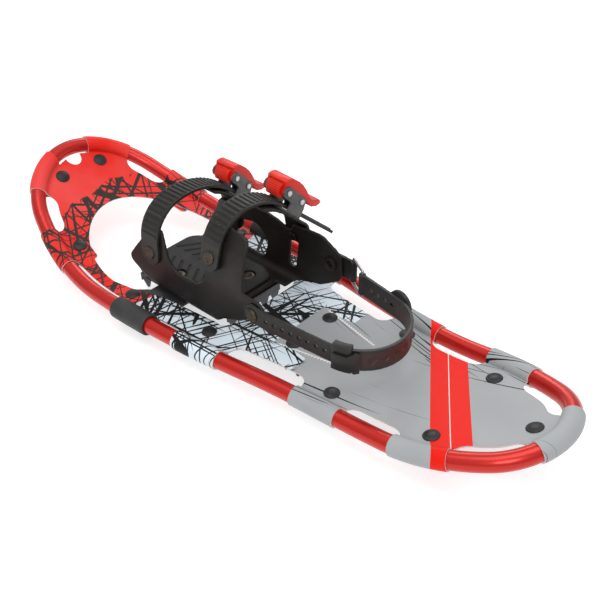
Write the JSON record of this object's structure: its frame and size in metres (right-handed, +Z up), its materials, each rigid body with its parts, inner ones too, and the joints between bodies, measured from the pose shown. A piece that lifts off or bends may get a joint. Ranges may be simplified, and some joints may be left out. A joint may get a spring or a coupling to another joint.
{
  "type": "snowshoe",
  "caption": "Snowshoe: bent tube frame, wrapped sheet deck, pivoting toe binding with ratchet straps, a swinging heel strap, toe and heel crampons.",
  "frame": {"origin": "on the ground under the middle of the frame, with the snowshoe standing on its crampon teeth", "axes": "+X toward the toe, +Y to the wearer's left, +Z up"},
  "size_m": [0.6363, 0.2112, 0.1444],
  "materials": {
    "tube_paint": "gloss powder coat",
    "raw_metal": "satin",
    "deck_sheet": "printed satin sheet",
    "rivet_black": "moulded",
    "band": "moulded",
    "steel": "satin",
    "crampon_steel": "dark plated",
    "cradle": "moulded",
    "pad": "moulded",
    "strap": "ribbed",
    "dark_plastic": "fine grain",
    "buckle_body": "speckled",
    "lever_red": "satin gloss",
    "rivet_bronze": "dark antique"
  },
  "bodies": {
    "frame": {"frame_tube": "tube_paint", "tail_plug": "raw_metal", "deck": "deck_sheet", "deck_rivets": "rivet_black", "rivet_washers": "raw_metal", "pivot_band_ends": "band", "pivot_rivets": "rivet_black", "heel_crampon": "crampon_steel", "crampon_rivets": "rivet_black"},
    "binding": {"binding_cradle": "cradle", "footbed_pad": "pad", "base_rivets": "rivet_bronze", "pivot_band_middle": "band", "toe_crampon": "crampon_steel", "ladder_strap_front": "strap", "ladder_strap_rear": "strap", "strap_rivets": "rivet_bronze", "mount_strap_front": "cradle", "mount_strap_rear": "cradle", "mount_rivets": "rivet_bronze", "buckle_base_front": "buckle_body", "buckle_base_rear": "buckle_body", "buckle_pins": "steel", "heel_pivot_rivet": "rivet_bronze", "heel_eyelet": "rivet_bronze"},
    "lever_front": {"lever_front": "lever_red"},
    "lever_rear": {"lever_rear": "lever_red"},
    "thumb_pad_front": {"thumb_pad_front": "lever_red"},
    "thumb_pad_rear": {"thumb_pad_rear": "lever_red"},
    "pawl_front": {"pawl_front": "steel"},
    "pawl_rear": {"pawl_rear": "steel"},
    "heel_strap": {"heel_strap_arm": "strap", "heel_clip": "dark_plastic", "clip_hook": "dark_plastic", "heel_strap_back": "strap", "heel_anchor": "strap", "heel_ring": "steel", "thumb_tab": "pad"}
  },
  "joints": [
    {"name": "binding_pivot", "type": "hinge", "parent": "frame", "child": "binding", "pos_m": [0.092, 0, 0.018], "axis": [0, 1, 0], "range_deg": [0, 50], "stiffness_Nm_per_rad": 0.25},
    {"name": "heel_strap_swing", "type": "hinge", "parent": "binding", "child": "heel_strap", "pos_m": [-0.034, 0, 0.0615], "axis": [0, 1, 0], "range_deg": [-6, 75]},
    {"name": "lever_front_lift", "type": "hinge", "parent": "binding", "child": "lever_front", "pos_m": [0.104, -0.05004, 0.10809], "axis": [-1, 0, 0], "range_deg": [0, 58], "stiffness_Nm_per_rad": 0.02},
    {"name": "thumb_pad_front_lift", "type": "hinge", "parent": "binding", "child": "thumb_pad_front", "pos_m": [0.104, -0.05004, 0.10809], "axis": [1, 0, 0], "range_deg": [0, 12], "stiffness_Nm_per_rad": 0.02},
    {"name": "pawl_front_tilt", "type": "hinge", "parent": "binding", "child": "pawl_front", "pos_m": [0.104, -0.06477, 0.09322], "axis": [-1, 0, 0], "range_deg": [0, 21], "stiffness_Nm_per_rad": 0.01},
    {"name": "lever_rear_lift", "type": "hinge", "parent": "binding", "child": "lever_rear", "pos_m": [0.01412, -0.03271, 0.13231], "axis": [-0.9962, 0.0872, 0], "range_deg": [0, 58], "stiffness_Nm_per_rad": 0.02},
    {"name": "thumb_pad_rear_lift", "type": "hinge", "parent": "binding", "child": "thumb_pad_rear", "pos_m": [0.01412, -0.03271, 0.13231], "axis": [0.9962, -0.0872, 0], "range_deg": [0, 12], "stiffness_Nm_per_rad": 0.02},
    {"name": "pawl_rear_tilt", "type": "hinge", "parent": "binding", "child": "pawl_rear", "pos_m": [0.01284, -0.04739, 0.11743], "axis": [-0.9962, 0.0872, 0], "range_deg": [0, 21], "stiffness_Nm_per_rad": 0.01}
  ],
  "couplings": [
    {"joint": "pawl_front_tilt", "follows": "thumb_pad_front_lift", "ratio": 1.75},
    {"joint": "pawl_rear_tilt", "follows": "thumb_pad_rear_lift", "ratio": 1.75}
  ]
}
